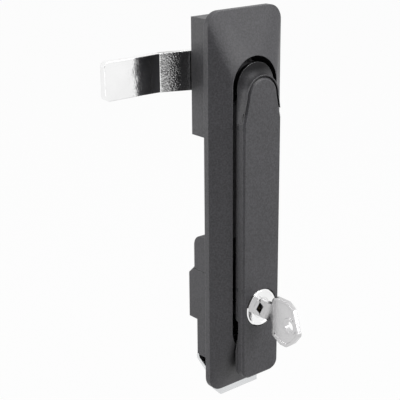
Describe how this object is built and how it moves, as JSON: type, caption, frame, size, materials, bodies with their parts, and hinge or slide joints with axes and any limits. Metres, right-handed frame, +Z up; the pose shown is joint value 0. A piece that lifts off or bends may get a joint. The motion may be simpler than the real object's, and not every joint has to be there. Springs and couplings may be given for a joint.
{
  "type": "swing handle lock",
  "caption": "Flush swing handle lock for a cabinet door, with a hinged keyed lever, a moulded dish and a cranked cam.",
  "frame": {"origin": "on the spindle's axis, in the plane of the door's outer face, where the dish's rim lies", "axes": "+Z up along the dish, +Y into the door along the spindle, +X to the right as seen from in front of the door"},
  "size_m": [0.0703, 0.061, 0.1683],
  "materials": {
    "black_nylon": "fine grained black moulding, glass-filled nylon",
    "acetal": "smooth natural acetal",
    "brass": "turned brass",
    "zinc_plated_steel": "zinc-plated pressed steel",
    "bright_plated_steel": "bright nickel plate",
    "black_steel": "blackened spring steel",
    "die_casting": "die-cast zinc, blackened",
    "seal_rubber": "nitrile rubber"
  },
  "bodies": {
    "dish_body": {"dish": "black_nylon", "dish_head_end": "black_nylon", "spindle_box": "black_nylon", "spindle_bush": "acetal", "thrust_washer": "acetal", "threaded_inserts": "brass", "catch": "black_steel", "catch_screw": "black_steel", "clamp_bracket": "zinc_plated_steel", "clamp_screw": "zinc_plated_steel"},
    "head_body": {"swivel_head": "die_casting", "spindle_seal": "seal_rubber", "circlip": "zinc_plated_steel", "stop_disc": "zinc_plated_steel", "cam": "bright_plated_steel", "cam_washer": "zinc_plated_steel", "cam_screw": "zinc_plated_steel"},
    "lever_body": {"lever": "black_nylon", "lever_cover": "black_nylon", "cover_screws": "zinc_plated_steel", "hinge_pin": "zinc_plated_steel", "lock_barrel": "bright_plated_steel", "lock_clip": "black_steel"},
    "key_body": {"lock_plug": "bright_plated_steel", "wafers": "brass", "lock_hook": "black_steel", "key": "bright_plated_steel"}
  },
  "joints": [
    {"name": "lever_turn", "type": "hinge", "parent": "dish_body", "child": "head_body", "pos_m": [0, 0, 0], "axis": [0, 1, 0], "range_deg": [0, 90]},
    {"name": "lever_lift", "type": "hinge", "parent": "head_body", "child": "lever_body", "pos_m": [0, -0.0082, -0.002], "axis": [-1, 0, 0], "range_deg": [0, 30]},
    {"name": "key_turn", "type": "hinge", "parent": "lever_body", "child": "key_body", "pos_m": [0, -0.0144, -0.0946], "axis": [0, 1, 0], "range_deg": [0, 90]}
  ]
}
